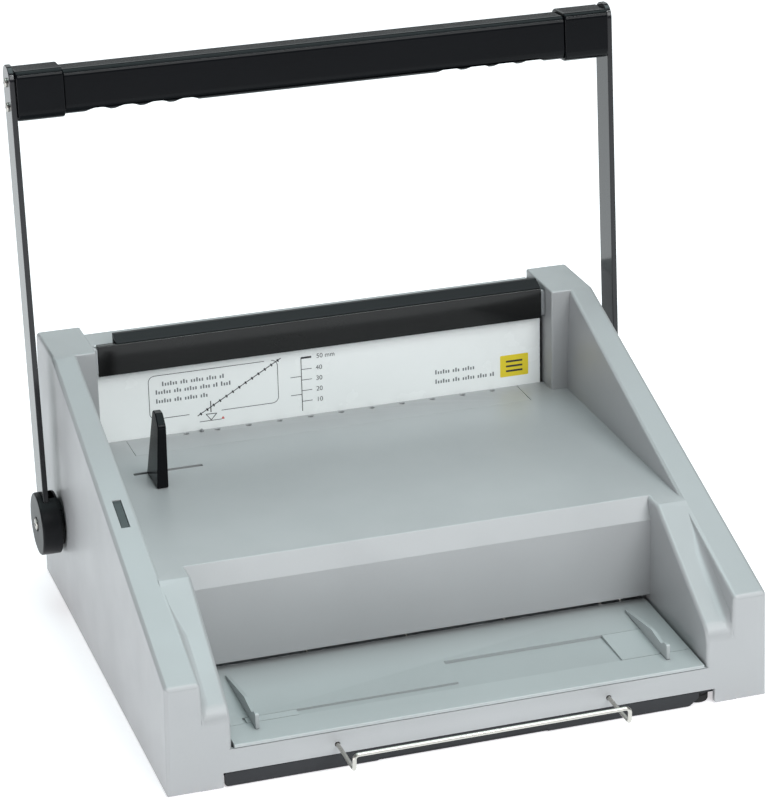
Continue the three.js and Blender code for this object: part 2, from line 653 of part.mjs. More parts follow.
function capScrew(z) {
  const head = rod("x", 3.6, [ARM_OUT + GAP, ARM_OUT + 1.9], [0, z], 16);
  return join(head, rod("x", 2, [228, ARM_OUT + 1], [0, z], 10));
}
function knobScrew() {
  const head = rod("x", 4, [KNOB_OUT + GAP, KNOB_OUT + 1.5], CENTRE, 16);
  return join(head, rod("x", 2.6, [KNOB_OUT - 3, KNOB_OUT + 1], CENTRE, 12));
}

putPair("arm", arm(), GLOSS_BLACK, handle);
putPair("pivot_knob", pivotKnob(), BLACK, handle);
putPair("end_cap", endCap(), BLACK, handle);
put("grip_rail", gripRail(), BLACK, handle);
put("cross_shaft", rod("x", SHAFT_R, [0.3 - ARM_OUT, ARM_OUT - 0.3], CENTRE, 24), STEEL, handle);
putPair("punch_cam", snailCam(), STEEL, handle);
putPair("upper_arm_screw", capScrew(CAP_SCREW_Z[1]), STEEL, handle);
putPair("lower_arm_screw", capScrew(CAP_SCREW_Z[0]), STEEL, handle);
putPair("knob_screw", knobScrew(), STEEL, handle);

export default part;
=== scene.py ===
# Strip-binding machine with a lever punch: the looks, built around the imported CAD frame.
# Pieces are modelled in the machine's own millimetres: X = 0 is the middle, Y = 0 the towers' front faces
# and Z = 0 the table. MACHINE (or HANDLE, whose origin is the lever's pivot) then puts them into the frame,
# in metres.
import bpy
import bmesh
import json
import math
from mathutils import Matrix, Vector


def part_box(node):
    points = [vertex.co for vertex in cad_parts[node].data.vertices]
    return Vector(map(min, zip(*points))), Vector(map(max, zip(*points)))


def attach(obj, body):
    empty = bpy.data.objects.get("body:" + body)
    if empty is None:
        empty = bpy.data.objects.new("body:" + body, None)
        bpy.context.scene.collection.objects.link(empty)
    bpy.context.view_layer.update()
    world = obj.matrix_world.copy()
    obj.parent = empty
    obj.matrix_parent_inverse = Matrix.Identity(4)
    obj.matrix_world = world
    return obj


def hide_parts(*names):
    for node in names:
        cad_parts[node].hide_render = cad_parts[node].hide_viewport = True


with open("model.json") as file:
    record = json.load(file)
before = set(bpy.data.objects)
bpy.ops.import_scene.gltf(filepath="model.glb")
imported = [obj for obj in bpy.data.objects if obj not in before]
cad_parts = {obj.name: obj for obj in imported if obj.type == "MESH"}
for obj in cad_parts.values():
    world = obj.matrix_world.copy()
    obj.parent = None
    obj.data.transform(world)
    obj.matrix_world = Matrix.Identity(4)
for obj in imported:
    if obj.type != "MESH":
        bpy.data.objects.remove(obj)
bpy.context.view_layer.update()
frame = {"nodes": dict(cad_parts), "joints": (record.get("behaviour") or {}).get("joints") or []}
JOINTS = {joint["name"]: joint for joint in frame["joints"]}

MM = 0.001
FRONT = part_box("right_side_housing")[0].y
MACHINE = Matrix.Translation((0, FRONT, 0)) @ Matrix.Scale(MM, 4)
PIVOT = Vector(JOINTS["handle_swing"]["pos_m"])
LEAN = 0.066
HANDLE = Matrix.Translation(PIVOT) @ Matrix.Rotation(-LEAN, 4, "X") @ Matrix.Scale(MM, 4)


def span(node):
    """A CAD node's low and high corners in machine millimetres."""
    return tuple((Vector(corner) - Vector((0, FRONT, 0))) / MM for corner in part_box(node))


def put_in_scene(name, data):
    """A new object for the data, linked to the scene."""
    thing = bpy.data.objects.new(name, data)
    bpy.context.scene.collection.objects.link(thing)
    return thing


# ---------------------------------------------------------------- camera, stage and light
CAMERA_PLACE = (-0.63537, FRONT - 1.84867, 1.04982)
CAMERA_RIGHT = Vector((0.9523766, -0.30406723, -0.02284555))
CAMERA_UP = Vector((0.13242526, 0.34495643, 0.92923012))
CAMERA_BACK = Vector((-0.27466771, -0.88800235, 0.36879462))
CAMERA_LENS = 140.49
CAMERA_SHIFT = (0.00525, -0.01775)
FLOOR_HALF = 9.0


def add_camera():
    """Long lens from the front left, a little above the machine."""
    data = bpy.data.cameras.new("camera")
    camera = put_in_scene("camera", data)
    bpy.context.scene.camera = camera
    turn = Matrix((CAMERA_RIGHT, CAMERA_UP, CAMERA_BACK)).transposed().to_4x4()
    camera.matrix_world = Matrix.Translation(CAMERA_PLACE) @ turn
    data.sensor_width = 36
    data.lens = CAMERA_LENS
    data.shift_x, data.shift_y = CAMERA_SHIFT
    data.clip_start = 0.05
    data.clip_end = 60


def add_area(name, place, aim, size, power, colour):
    """Rectangular light in metres and watts, turned towards aim."""
    data = bpy.data.lights.new(name, "AREA")
    data.shape = "RECTANGLE"
    data.size, data.size_y = size
    data.energy = power
    data.color = colour
    light = put_in_scene(name, data)
    light.location = place
    light.rotation_euler = (Vector(aim) - Vector(place)).to_track_quat("-Z", "Y").to_euler()


def add_world():
    """Faint, even light from all around."""
    world = bpy.data.worlds.new("studio")
    bpy.context.scene.world = world
    world.use_nodes = True
    sky = world.node_tree.nodes["Background"]
    sky.inputs["Color"].default_value = (0.95, 0.98, 1.0, 1)
    sky.inputs["Strength"].default_value = 0.2


def add_floor():
    """Plain pale floor, faintly lit of itself so that it stays pale to the horizon."""
    far = FLOOR_HALF
    mesh = bpy.data.meshes.new("floor")
    mesh.from_pydata([(-far, -far, 0), (far, -far, 0), (far, far, 0), (-far, far, 0)], [], [(0, 1, 2, 3)])
    floor = put_in_scene("floor", mesh)
    pale = bpy.data.materials.new("pale_floor")
    pale.use_nodes = True
    shader = pale.node_tree.nodes["Principled BSDF"]
    shader.inputs["Base Color"].default_value = (0.86, 0.86, 0.87, 1)
    shader.inputs["Roughness"].default_value = 0.9
    shader.inputs["Specular IOR Level"].default_value = 0.1
    shader.inputs["Emission Color"].default_value = (1.0, 0.98, 1.0, 1)
    shader.inputs["Emission Strength"].default_value = 0.56
    mesh.materials.append(pale)


def add_lights():
    """Soft light low from the left, large in front, above and behind, and a thin strip for the highlights."""
    add_area("side", (-2.4, -0.8, 0.16), (0, 0, 0.1), (1.8, 0.3), 14.5, (1.0, 0.965, 1.0))
    add_area("front", (0.8, -2.2, 1.8), (0, 0, 0.1), (1.8, 1.2), 37, (0.97, 0.99, 1.0))
    add_area("top", (0.1, 0.3, 2.4), (0, 0, 0), (2.0, 2.0), 33, (0.79, 1.0, 1.0))
    add_area("strip", (0.6, -1.0, 1.9), (0, 0.18, 0.4), (1.5, 0.1), 12, (0.95, 1.0, 1.0))
    add_area("back", (0.2, 2.6, 1.6), (0, 0, 0.1), (2.6, 1.4), 14, (0.92, 1.0, 1.0))
    bpy.context.scene.view_settings.view_transform = "Standard"


# ---------------------------------------------------------------- materials
def surface(name, colour, roughness, metallic=0.0, grain=900.0, depth=0.06, mottle=0.06, wear=0.35,
            specular=0.5, stretch=(1, 1, 1)):
    """Moulded or machined surface: clouded colour, varying roughness, fine grain and worn, lighter edges."""
    material = bpy.data.materials.new(name)
    material.use_nodes = True
    nodes, links = material.node_tree.nodes, material.node_tree.links
    shader = nodes["Principled BSDF"]
    shader.inputs["Metallic"].default_value = metallic
    shader.inputs["Specular IOR Level"].default_value = specular
    place = nodes.new("ShaderNodeTexCoord")
    scale = nodes.new("ShaderNodeMapping")
    scale.inputs["Scale"].default_value = stretch
    links.new(place.outputs["Object"], scale.inputs["Vector"])

    def noise(size, detail):
        texture = nodes.new("ShaderNodeTexNoise")
        texture.inputs["Scale"].default_value = size
        texture.inputs["Detail"].default_value = detail
        links.new(scale.outputs["Vector"], texture.inputs["Vector"])
        return texture.outputs["Fac"]

    def remap(value, low, high, to_low, to_high):
        ramp = nodes.new("ShaderNodeMapRange")
        for socket, number in zip(("From Min", "From Max", "To Min", "To Max"), (low, high, to_low, to_high)):
            ramp.inputs[socket].default_value = number
        links.new(value, ramp.inputs["Value"])
        return ramp.outputs["Result"]

    def blend(factor, first, second):
        mix = nodes.new("ShaderNodeMix")
        mix.data_type = "RGBA"
        links.new(factor, mix.inputs["Factor"])
        for socket, value in zip((mix.inputs[6], mix.inputs[7]), (first, second)):
            if isinstance(value, tuple):
                socket.default_value = (*value, 1)
            else:
                links.new(value, socket)
        return mix.outputs[2]

    darker = tuple(c * (1 - mottle) for c in colour)
    lighter = tuple(min(1, c * (1 + mottle)) for c in colour)
    clouds = blend(remap(noise(9, 4), 0.35, 0.65, 0, 1), darker, lighter)
    speckle = blend(remap(noise(grain * 0.45, 2), 0.3, 0.7, 0, 0.35), clouds, lighter)
    worn = tuple(min(1, c * 1.25 + 0.03 * wear) for c in colour)
    edge = nodes.new("ShaderNodeNewGeometry")
    rubbed = remap(edge.outputs["Pointiness"], 0.52, 0.6, 0, wear)
    links.new(blend(rubbed, speckle, worn), shader.inputs["Base Color"])
    patches = remap(noise(26, 5), 0.3, 0.7, roughness * 0.88, min(1, roughness * 1.14))
    links.new(patches, shader.inputs["Roughness"])
    bump = nodes.new("ShaderNodeBump")
    bump.inputs["Strength"].default_value = depth
    bump.inputs["Distance"].default_value = 0.0004
    links.new(noise(grain, 3), bump.inputs["Height"])
    links.new(bump.outputs["Normal"], shader.inputs["Normal"])
    return material


def make_materials():
    """Every finish on the machine, by the short name that the pieces below use."""
    turned_metal = {"metallic": 1.0, "grain": 500, "depth": 0.12, "stretch": (1, 9, 9)}
    plated_metal = {"metallic": 1.0, "grain": 900, "depth": 0.05, "mottle": 0.05}
    print_finish = {"grain": 800, "depth": 0.02, "wear": 0.0}
    housing_plastic = {"metallic": 0.15, "grain": 1500, "depth": 0.05, "mottle": 0.03}
    tray_plastic = {"metallic": 0.15, "grain": 1300, "depth": 0.08, "mottle": 0.04}
    panel_sheet = {"grain": 700, "depth": 0.02, "mottle": 0.015, "wear": 0.1}
    gloss_paint = {"grain": 500, "depth": 0.03, "mottle": 0.2, "wear": 0.3, "specular": 0.42}
    bar_paint = {"grain": 400, "depth": 0.02, "mottle": 0.2, "wear": 0.5, "specular": 0.32}
    satin_plastic = {"grain": 1100, "depth": 0.07, "mottle": 0.15, "wear": 0.15, "specular": 0.11}
    slate_plastic = {"grain": 1100, "depth": 0.06, "mottle": 0.12, "specular": 0.16}
    dark_plastic = {"grain": 1000, "depth": 0.25, "mottle": 0.12, "specular": 0.25}
    smoked = {"grain": 160, "depth": 0.5, "mottle": 0.4, "wear": 0.2, "specular": 0.3}
    soft_rubber = {"grain": 900, "depth": 0.3, "mottle": 0.15, "specular": 0.3}
    return {
        "housing": surface("silver_plastic", (0.385, 0.39, 0.397), 0.40, **housing_plastic),
        "tray": surface("tray_plastic", (0.375, 0.395, 0.398), 0.42, **tray_plastic),
        "white": surface("white_panel", (0.93, 0.955, 0.945), 0.25, **panel_sheet),
        "gloss": surface("gloss_black", (0.008, 0.008, 0.010), 0.14, **gloss_paint),
        "bar": surface("bar_black", (0.005, 0.005, 0.005), 0.14, **bar_paint),
        "satin": surface("satin_black", (0.0025, 0.003, 0.004), 0.16, **satin_plastic),
        "slate": surface("slate_black", (0.009, 0.0095, 0.011), 0.36, **slate_plastic),
        "dark": surface("dark_textured", (0.024, 0.025, 0.028), 0.5, **dark_plastic),
        "lens": surface("smoked_lens", (0.030, 0.036, 0.038), 0.2, **smoked),
        "rubber": surface("rubber", (0.018, 0.018, 0.018), 0.85, **soft_rubber),
        "steel": surface("machined_steel", (0.46, 0.47, 0.48), 0.32, **turned_metal),
        "nickel": surface("nickel", (0.50, 0.48, 0.445), 0.28, **plated_metal),
        "brass": surface("brass", (0.62, 0.47, 0.2), 0.3, metallic=1.0, grain=600, depth=0.1),
        "ink": surface("printed_ink", (0.035, 0.035, 0.04), 0.5, **print_finish),
        "grey_ink": surface("grey_ink", (0.16, 0.17, 0.18), 0.5, **print_finish),
        "yellow_ink": surface("yellow_label", (0.83, 0.66, 0.03), 0.4, mottle=0.03, **print_finish),
        "red_ink": surface("red_ink", (0.55, 0.06, 0.05), 0.5, **print_finish),
    }


# ---------------------------------------------------------------- mesh helpers, in millimetres
def object_from(bm, name):
    """A mesh object of what the bmesh holds."""
    mesh = bpy.data.meshes.new(name)
    bm.to_mesh(mesh)
    bm.free()
    return put_in_scene(name, mesh)


def piece_from(bm, name):
    """The same, with every face turned outwards."""
    bmesh.ops.recalc_face_normals(bm, faces=bm.faces)
    return object_from(bm, name)


def rounded(corners, steps=6):
    """Closed outline from corners (u, v[, radius]), with a true arc at each rounded corner."""
    points = []
    for i, (u, v, *rest) in enumerate(corners):
        here = Vector((u, v))
        if not rest:
            points.append(here)
            continue
        before = (Vector(corners[i - 1][:2]) - here).normalized()
        after = (Vector(corners[(i + 1) % len(corners)][:2]) - here).normalized()
        half = before.angle(after) / 2
        centre = here + (before + after).normalized() * (rest[0] / math.sin(half))
        first = here + before * (rest[0] / math.tan(half)) - centre
        last = here + after * (rest[0] / math.tan(half)) - centre
        turn = math.atan2(first.x * last.y - first.y * last.x, first.dot(last))
        for step in range(steps + 1):
            angle = turn * step / steps
            cos, sin = math.cos(angle), math.sin(angle)
            points.append(centre + Vector((first.x * cos - first.y * sin, first.x * sin + first.y * cos)))
    return points


AXES = {
    "x": lambda u, v, w: (w, u, v),
    "y": lambda u, v, w: (u, w, v),
    "z": lambda u, v, w: (u, v, w),
}


def prism(name, axis, outline, low, high):
    """An outline drawn out along an axis; low and high are numbers or functions of the outline's (u, v)."""
    bm = bmesh.new()
    where = AXES[axis]
    ends = []
    for end in (low, high):
        station = end if callable(end) else lambda u, v, end=end: end
        ends.append([bm.verts.new(where(p[0], p[1], station(p[0], p[1]))) for p in outline])
    bm.faces.new(ends[0])
    bm.faces.new(ends[1])
    for i in range(len(outline)):
        j = (i + 1) % len(outline)
        bm.faces.new((ends[0][i], ends[0][j], ends[1][j], ends[1][i]))
    return piece_from(bm, name)


def box(name, x, y, z):
    """A block from pairs (low, high) along X, Y and Z."""
    return prism(name, "z", [(x[0], y[0]), (x[1], y[0]), (x[1], y[1]), (x[0], y[1])], z[0], z[1])


def circle(radius, centre, sides):
    """Points (u, v) of a circle, as an outline."""
    turns = [2 * math.pi * i / sides for i in range(sides)]
    return [(centre[0] + radius * math.cos(t), centre[1] + radius * math.sin(t)) for t in turns]


def rod(name, axis, radius, low, high, centre, sides=32):
    """A round bar along an axis, from low to high."""
    return prism(name, axis, circle(radius, centre, sides), low, high)


def turned(name, profile, centre, sides=64):
    """Closed profile of (radius, x) points turned about the X axis through centre (y, z)."""
    bm = bmesh.new()
    rings = []
    for i in range(sides):
        angle = 2 * math.pi * i / sides
        cos, sin = math.cos(angle), math.sin(angle)
        rings.append([bm.verts.new((x, centre[0] + r * cos, centre[1] + r * sin)) for r, x in profile])
    for i in range(sides):
        near, far = rings[i], rings[(i + 1) % sides]
        for k in range(len(profile)):
            n = (k + 1) % len(profile)
            bm.faces.new((near[k], near[n], far[n], far[k]))
    return piece_from(bm, name)


def loft(name, sections):
    """Closed sections of equal length joined into one capped skin."""
    bm = bmesh.new()
    rings = [[bm.verts.new(p) for p in section] for section in sections]
    for near, far in zip(rings, rings[1:]):
        for k in range(len(near)):
            n = (k + 1) % len(near)
            bm.faces.new((near[k], near[n], far[n], far[k]))
    bm.faces.new(rings[0])
    bm.faces.new(rings[-1])
    return piece_from(bm, name)


def tube(name, path, radius, sides=16):
    """Round wire along a list of points, its section carried along without twist."""
    points = [Vector(p) for p in path]
    tangent = (points[1] - points[0]).normalized()
    side = tangent.orthogonal().normalized()
    sections = []
    for i, point in enumerate(points):
        ahead = points[min(i + 1, len(points) - 1)] - points[max(i - 1, 0)]
        turn = tangent.rotation_difference(ahead.normalized())
        side = turn @ side
        tangent = ahead.normalized()
        other = tangent.cross(side)
        ring = []
        for k in range(sides):
            angle = 2 * math.pi * k / sides
            ring.append(point + side * (radius * math.cos(angle)) + other * (radius * math.sin(angle)))
        sections.append(ring)
    return loft(name, sections)


def lathe(name, axis, profile, centre, sides=48):
    """Solid of circles (radius, station) along an axis."""
    where = AXES[axis]
    return loft(name, [[where(u, v, station) for u, v in circle(r, centre, sides)] for r, station in profile])


def mirrored(piece, name):
    """A copy of the piece on the other side of X = 0."""
    bm = bmesh.new()
    bm.from_mesh(piece.data)
    bmesh.ops.scale(bm, vec=(-1, 1, 1), verts=bm.verts)
    bmesh.ops.reverse_faces(bm, faces=bm.faces)
    return object_from(bm, name)


def removed(piece):
    """Takes a helper piece and its mesh out of the file."""
    mesh = piece.data
    bpy.data.objects.remove(piece)
    bpy.data.meshes.remove(mesh)


def gathered(name, pieces):
    """Several small meshes as one object."""
    bm = bmesh.new()
    for piece in pieces:
        bm.from_mesh(piece.data)
        removed(piece)
    return object_from(bm, name)


def settle(piece):
    """Applies the piece's modifiers to its mesh."""
    bpy.context.view_layer.update()
    graph = bpy.context.evaluated_depsgraph_get()
    shape = piece.evaluated_get(graph)
    mesh = bpy.data.meshes.new_from_object(shape, preserve_all_data_layers=True, depsgraph=graph)
    piece.modifiers.clear()
    old = piece.data
    piece.data = mesh
    bpy.data.meshes.remove(old)
    return piece


def combine(operation, piece, others):
    """Boolean of the piece with each of the others, which are used up."""
    for other in others:
        step = piece.modifiers.new(operation, "BOOLEAN")
        step.operation = operation
        step.solver = "EXACT"
        step.object = other
    settle(piece)
    for other in others:
        removed(other)
    return piece


def joined(piece, *others):
    """The piece with the others added to it."""
    return combine("UNION", piece, others)


def cut(piece, *others):
    """The piece with the others taken out of it."""
    return combine("DIFFERENCE", piece, others)


def soften(piece, width, segments=3, angle=28):
    """Rounds every edge sharper than the angle."""
    bevel = piece.modifiers.new("bevel", "BEVEL")
    bevel.width = width
    bevel.segments = segments
    bevel.limit_method = "ANGLE"
    bevel.angle_limit = math.radians(angle)
    bevel.use_clamp_overlap = False
    bevel.harden_normals = True
    smooth(piece)
    return settle(piece)


def smooth(piece, angle=35):
    """Smooth shading except over edges sharper than the angle; normals left by earlier steps are dropped."""
    old_normals = piece.data.attributes.get("custom_normal")
    if old_normals:
        piece.data.attributes.remove(old_normals)
    piece.data.shade_smooth()
    piece.data.set_sharp_from_angle(angle=math.radians(angle))
    return piece


def soften_by(piece, radius_of, segments=4):
    """Rounds each convex edge by radius_of(its middle, its direction), in millimetres; 0 leaves it sharp."""
    bm = bmesh.new()
    bm.from_mesh(piece.data)
    bmesh.ops.dissolve_limit(bm, angle_limit=math.radians(0.3), verts=bm.verts, edges=bm.edges)
    layer = bm.edges.layers.float.get("bevel_weight_edge") or bm.edges.layers.float.new("bevel_weight_edge")
    widest = 5.0
    for edge in bm.edges:
        if len(edge.link_faces) != 2 or not edge.is_convex or edge.calc_face_angle() < math.radians(14):
            edge[layer] = 0
            continue
        middle = (edge.verts[0].co + edge.verts[1].co) / 2
        along = (edge.verts[1].co - edge.verts[0].co).normalized()
        edge[layer] = radius_of(middle, along) / widest
    bm.to_mesh(piece.data)
    bm.free()
    bevel = piece.modifiers.new("bevel", "BEVEL")
    bevel.width = widest
    bevel.segments = segments
    bevel.limit_method = "WEIGHT"
    bevel.use_clamp_overlap = False
    bevel.harden_normals = True
    smooth(piece)
    return settle(piece)


def finished(piece, body, material, replaces=(), place=MACHINE):
    """Puts a piece into the frame, gives it its material, hangs it on the body it rides on and hides the CAD
    nodes it stands for.
    """
    piece.data.transform(place)
    piece.data.materials.clear()
    piece.data.materials.append(material)
    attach(piece, body)
    if replaces:
        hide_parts(*replaces)
    return piece


# ---------------------------------------------------------------- the one-piece housing
BODY_TOP = 201.9
BODY_BACK = 396
DECK = 118
SKIRT = 0.8
WALL = 3
DECK_BACK = 356.4
SLOPE = [(0, 82.6), (337.2, BODY_TOP)]
TOWER_RISE = (SLOPE[1][1] - SLOPE[0][1]) / SLOPE[1][0]
TOWER_IN = {"x": 195.9, "at_z": 58, "draft": 0.0306}
TOWER_OUT = {"x": 223.6, "draft": 4.2}
TOWER_EDGE = 3.0
COLUMN = {"inner": 184.8, "front": 337, "base": 100}
RIDGE = {"nose": 57.6, "round": 17, "top_y": 97, "low": 12.1, "inner": 176.3, "edge": 3.2, "back": 121}
RIDGE_RISE = (DECK - RIDGE["nose"]) / RIDGE["top_y"]
IN_TOWER = 200
SHAFT = (330.2, 70.2)
BED = {"half": 161.7, "y": (323.3, DECK_BACK), "hole_y": 353.3, "pitch": 25.4, "holes": 12, "gap": 0.3}
LOCATING_X = -101.6
TRAY = {"front": 32.4, "back": 35.1, "y": 113.5, "half": 174.6, "lip": 29.9, "sill": 29.5}
BAIL = {"reach": -40, "low": 19.5, "high": 31, "half": 101, "back": 98, "bend": 3.2, "radius": 1.5}


def tower_inner(u, z):
    """X of a tower's drafted face towards the middle."""
    return TOWER_IN["x"] + TOWER_IN["draft"] * (z - TOWER_IN["at_z"])


def tower_outer(u, z):
    """X of a tower's drafted outer face."""
    return TOWER_OUT["x"] - TOWER_OUT["draft"] * z / BODY_TOP


def slope_top(y):
    """Height of the towers' sloping tops."""
    return SLOPE[0][1] + TOWER_RISE * y


def merged_flats(piece, angle=0.05):
    """Makes one face of each flat that a union left in several."""
    bm = bmesh.new()
    bm.from_mesh(piece.data)
    bmesh.ops.dissolve_limit(bm, angle_limit=math.radians(angle), verts=bm.verts, edges=bm.edges)
    bm.to_mesh(piece.data)
    bm.free()


def shaded(piece, angle=38):
    """Smooth over the roundings while broad faces stay flat."""
    smooth(piece, angle)
    weighted = piece.modifiers.new("weighted", "WEIGHTED_NORMAL")
    weighted.keep_sharp = True
    weighted.weight = 80
    return settle(piece)


def ridge_top(y):
    """Height of the ridge's sloping top, with the round nose in front."""
    r = RIDGE["round"]
    lean = math.atan(RIDGE_RISE)
    if y > r * (1 - math.sin(lean)):
        return RIDGE["nose"] + RIDGE_RISE * y
    nose_low = RIDGE["nose"] - r * math.tan(math.pi / 4 - lean / 2)
    return nose_low + math.sqrt(r ** 2 - (r - y) ** 2)


def ridge_block():
    """Low ridge beside the tray; its inner edges are rounded by stacking inset outlines."""
    radius, steps, crest = RIDGE["edge"], 6, 4
    lean = math.atan(RIDGE_RISE)
    sections = []
    for step in range(steps + 1):
        angle = math.pi / 2 * step / steps
        inset = radius * (1 - math.sin(angle))
        drop = inset / math.cos(lean)
        nose = RIDGE["nose"] + RIDGE_RISE * inset - drop
        top = DECK - inset
        top_y = (top - RIDGE["nose"] + drop) / RIDGE_RISE
        outline = rounded([
            (inset, RIDGE["low"]), (inset, nose, RIDGE["round"] - inset), (top_y, top, crest - inset),
            (RIDGE["back"], top), (RIDGE["back"], RIDGE["low"]),
        ], 12)
        x = RIDGE["inner"] + radius * (1 - math.cos(angle))
        sections.append([(x, y, z) for y, z in outline])
    sections.append([(IN_TOWER, y, z) for y, z in outline])
    return loft("ridge", sections)


def ridge_fillet():
    """Hollow rounding between the ridge's top and the tower's wall, from the nose up to the deck."""
    widest, least, growth, steps, bite, spare = 7, 0.15, 8, 8, 0.02, 3.2
    sections = []
    for y in (0.1, 0.5, 1.5, 3, 5.5, 8, 20, 35, 48, 56, 64, 72, 79):
        low = min(ridge_top(y), DECK) - bite
        wall = tower_inner(y, low) + bite
        room = slope_top(y) - low - spare
        r = max(least, min(widest * math.sqrt(min(1, y / growth)), room))
        ring = [(wall + 1, y, low - 1), (wall - r, y, low - 1)]
        for step in range(steps + 1):
            angle = math.pi / 2 * step / steps
            ring.append((wall - r + r * math.sin(angle), y, low + r - r * math.cos(angle)))
        ring.append((wall + 1, y, low + r))
        sections.append(ring)
    return loft("ridge_round", sections)


def tower_block():
    """Wedge-shaped tower between its two drafted faces, with rounded edges."""
    outline = rounded([(0, SKIRT), SLOPE[0], SLOPE[1], (BODY_BACK, BODY_TOP), (BODY_BACK, SKIRT)])
    tower = prism("tower", "x", outline, tower_inner, tower_outer)

    def edge_radius(middle, along):
        if middle.z < 3:
            return 0.6
        return 1.6 if middle.y > BODY_BACK - 2 else TOWER_EDGE

    return soften_by(tower, edge_radius)


def foot_block():
    """Low block that carries the ridge down to the skirt."""
    foot = box("foot", (183.1, IN_TOWER), (0.05, RIDGE["back"]), (SKIRT, 14))
    return soften_by(foot, lambda p, d: 0 if p.x > 190 or p.y > 120 or p.z > 12 else 1)


def column_block():
    """Square column in front of the bar's screw, at the tower's rear."""
    column = box("column", (COLUMN["inner"], 205), (COLUMN["front"], BODY_BACK), (COLUMN["base"], BODY_TOP))
    return soften_by(column, lambda p, d: 0 if p.x > 203 or p.z < COLUMN["base"] + 1 else 1.6)


def side_rooms():
    """The hollows inside one side, the way in for the pan, and the hole for the lever's shaft."""
    back = BODY_BACK - WALL
    tower_line = [(WALL, -1), (WALL, 79), (336.4, 198.7), (back, 198.7), (back, -1)]
    ridge_line = [(WALL, 14), (WALL, 44), (92, 102), (117, 106), (117, 14)]
    return [
        prism("tower_room", "x", tower_line, lambda u, z: tower_inner(u, z) + WALL,
              lambda u, z: tower_outer(u, z) - WALL),
        prism("ridge_room", "x", ridge_line, 180.5, 201),
        box("foot_room", (186.1, 201), (WALL, 122), (-1, 15)),
        box("pan_way", (182, 201), (4, 122), (-1, 9.6)),
        box("column_room", (COLUMN["inner"] + WALL, 206), (340, back), (99, 198.6)),
        box("rear_room", (190, 206), (120.3, back), (-1, 99.8)),
        rod("shaft_hole", "x", 10, 190, 226, SHAFT, 48),
    ]


def side_half():
    """Right tower with its low ridge, foot and rear column, hollow from below."""
    half = joined(tower_block(), ridge_block(), foot_block(), column_block(), ridge_fillet())
    return cut(half, *side_rooms())


def housing(mats):
    """Both sides, the fascia, the deck and the sill under the tray, as the one shell that the photo shows."""
    right = side_half()
    left = mirrored(right, "left_half")
    deck_under = DECK - WALL
    shell = [
        (107, 40.8), (107, 101.5, 1.2), (115, DECK, 1.2), (DECK_BACK, DECK), (DECK_BACK, deck_under),
        (117.2, deck_under), (110, 100.8), (110, 40.8),
    ]
    middle = prism("middle", "x", rounded(shell, 4), -188, 188)
    wings = [box("wing", (side * 186, side * 199), (119, 337.5), (deck_under, DECK)) for side in (1, -1)]
    sill = box("sill", (-187, 187), (0, WALL), (RIDGE["low"], TRAY["sill"]))
    body = joined(right, left, middle, sill, *wings)
    guide_slot = prism("slot", "z", [(-172, 286), (-118, 286), (-118, 290), (-172, 290)], 110, 120)
    bed_wide = BED["half"] + BED["gap"]
    bed_room = box("bed_room", (-bed_wide, bed_wide), (323, 360), (110, 120))
    low, high = span("indicator_lens")
    lens_room = box("lens_room", (low.x - 0.3, high.x + 0.3), (low.y - 0.3, high.y + 0.3), (110, 160))
    bail_holes = [rod("bail_hole", "y", 2, -1, 5, (side * BAIL["half"], BAIL["low"]), 24) for side in (1, -1)]
    cut(body, guide_slot, bed_room, lens_room, *bail_holes)
    body.name = "housing_shell"
    merged_flats(body)
    shaded(body)
    finished(body, "chassis", mats["housing"],
             ["right_side_housing", "left_side_housing", "front_fascia", "top_deck"])


def binding_bed(mats):
    """Bed insert behind the deck, with its row of countersunk strip holes and the locating pin."""
    bed = box("binding_bed_plate", (-BED["half"], BED["half"]), BED["y"], (108, DECK))
    soften(bed, 0.4, 2)
    holes = []
    middle = (BED["holes"] - 1) / 2
    for i in range(BED["holes"]):
        x = (i - middle) * BED["pitch"]
        holes.append(rod("hole", "z", 2.2, 100, 120, (x, BED["hole_y"]), 24))
        holes.append(lathe("sink", "z", [(2.1, 117.3), (2.9, 118.1)], (x, BED["hole_y"]), 24))
    holes.append(rod("pin_hole", "z", 1.8, 110, 120, (LOCATING_X, BED["hole_y"]), 24))
    cut(bed, *holes)
    shaded(bed)
    finished(bed, "chassis", mats["housing"], ["binding_bed"])
    pin_line = [(1.4, 110), (1.4, 119.2), (1.1, 119.9), (0.5, 120.2)]
    pin = lathe("strip_locating_pin", "z", pin_line, (LOCATING_X, BED["hole_y"]), 20)
    shaded(pin)
    finished(pin, "chassis", mats["steel"], ["locating_pin"])


# ---------------------------------------------------------------- punch tray, guides, bail and drawer
def tray_top(y):
    return TRAY["front"] + (TRAY["back"] - TRAY["front"]) * y / TRAY["y"]


def punch_tray(mats):
    """Tray that carries the sheets to the punch, with its two channels and the score along the front."""
    section = rounded([
        (0, TRAY["lip"], 0.4), (0, TRAY["front"], 0.9), (TRAY["y"], TRAY["back"]), (TRAY["y"], 29),
        (WALL + 0.5, 29), (WALL + 0.5, TRAY["lip"]),
    ])
    tray = prism("punch_tray_plate", "x", section, -TRAY["half"], TRAY["half"])
    post = rod("post", "z", 3, 20, 29, (0, 45))
    joined(tray, post)
    floor = 31.6
    cutters = [
        box("right_channel", (0, 160), (27, 68), (floor, 40)),
        box("left_channel", (-160, 0.1), (27, 35), (floor, 40)),
        prism("score", "z", [(-176, 26.5), (176, 26.5), (176, 27.0), (-176, 27.0)], 32.75, 40),
    ]
    cut(tray, *cutters)
    shaded(tray)
    finished(tray, "chassis", mats["tray"], ["punch_tray"])


